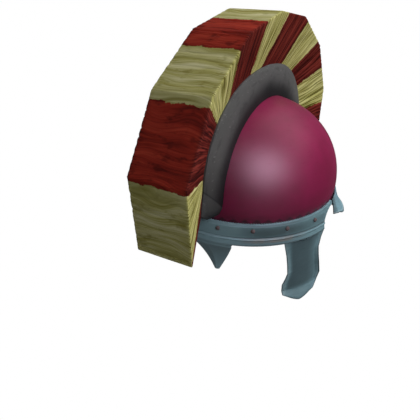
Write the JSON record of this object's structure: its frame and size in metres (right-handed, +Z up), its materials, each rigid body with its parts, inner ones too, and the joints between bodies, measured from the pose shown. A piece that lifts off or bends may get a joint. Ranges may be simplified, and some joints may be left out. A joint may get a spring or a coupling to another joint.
{
  "type": "crested centurion helmet",
  "caption": "Open-faced legionary helmet: round lacquered bowl, flared brow band with nasal, neck guard, hinged cheek guards and a striped fore-and-aft crest.",
  "frame": {"origin": "inner top of the bowl's crown, on the helmet's vertical centre line, where it sits on the wearer's head", "axes": "+Z up, -Y to the front where the wearer faces, +X to the wearer's left"},
  "size_m": [0.2548, 0.4157, 0.3291],
  "materials": {
    "crimson_lacquer": "glossy crimson lacquer on sheet steel",
    "steel": "satin blue-grey steel",
    "copper_rivet": "darkened copper",
    "dark_iron": "dull dark iron",
    "dark_wood": "dark grey painted wood, satin",
    "red_horsehair": "dyed horsehair in locks",
    "cream_horsehair": "dyed horsehair in locks"
  },
  "bodies": {
    "helmet": {"bowl": "crimson_lacquer", "brow_band": "steel", "neck_guard": "steel", "crest_holder": "dark_wood", "crest_pin_front": "dark_iron", "crest_pin_rear": "dark_iron", "hinge_leaf_left": "dark_iron", "hinge_leaf_right": "dark_iron", "hinge_pin_left": "dark_iron", "hinge_pin_right": "dark_iron", "hinge_rivet_left_1": "dark_iron", "hinge_rivet_left_2": "dark_iron", "hinge_rivet_right_1": "dark_iron", "hinge_rivet_right_2": "dark_iron", "rivet_01": "copper_rivet", "rivet_02": "copper_rivet", "rivet_03": "copper_rivet", "rivet_04": "copper_rivet", "rivet_05": "copper_rivet", "rivet_06": "copper_rivet", "rivet_07": "copper_rivet", "rivet_08": "copper_rivet", "rivet_09": "copper_rivet", "rivet_10": "copper_rivet", "rivet_11": "copper_rivet", "rivet_12": "copper_rivet", "rivet_13": "copper_rivet", "rivet_14": "copper_rivet", "rivet_15": "copper_rivet", "rivet_16": "copper_rivet", "crest_section_01": "red_horsehair", "crest_section_02": "cream_horsehair", "crest_section_03": "red_horsehair", "crest_section_04": "cream_horsehair", "crest_section_05": "red_horsehair", "crest_section_06": "cream_horsehair", "crest_section_07": "red_horsehair", "crest_section_08": "cream_horsehair", "crest_section_09": "red_horsehair", "crest_section_10": "cream_horsehair", "crest_section_11": "red_horsehair", "crest_section_12": "cream_horsehair"},
    "cheek_left": {"cheek_guard_left": "steel"},
    "cheek_right": {"cheek_guard_right": "steel"}
  },
  "joints": [
    {"name": "cheek_hinge_left", "type": "hinge", "parent": "helmet", "child": "cheek_left", "pos_m": [0.09985, -0.05765, -0.1442], "axis": [-0.5, -0.866, 0], "range_deg": [-20, 75]},
    {"name": "cheek_hinge_right", "type": "hinge", "parent": "helmet", "child": "cheek_right", "pos_m": [-0.09985, -0.05765, -0.1442], "axis": [-0.5, 0.866, 0], "range_deg": [-20, 75]}
  ]
}
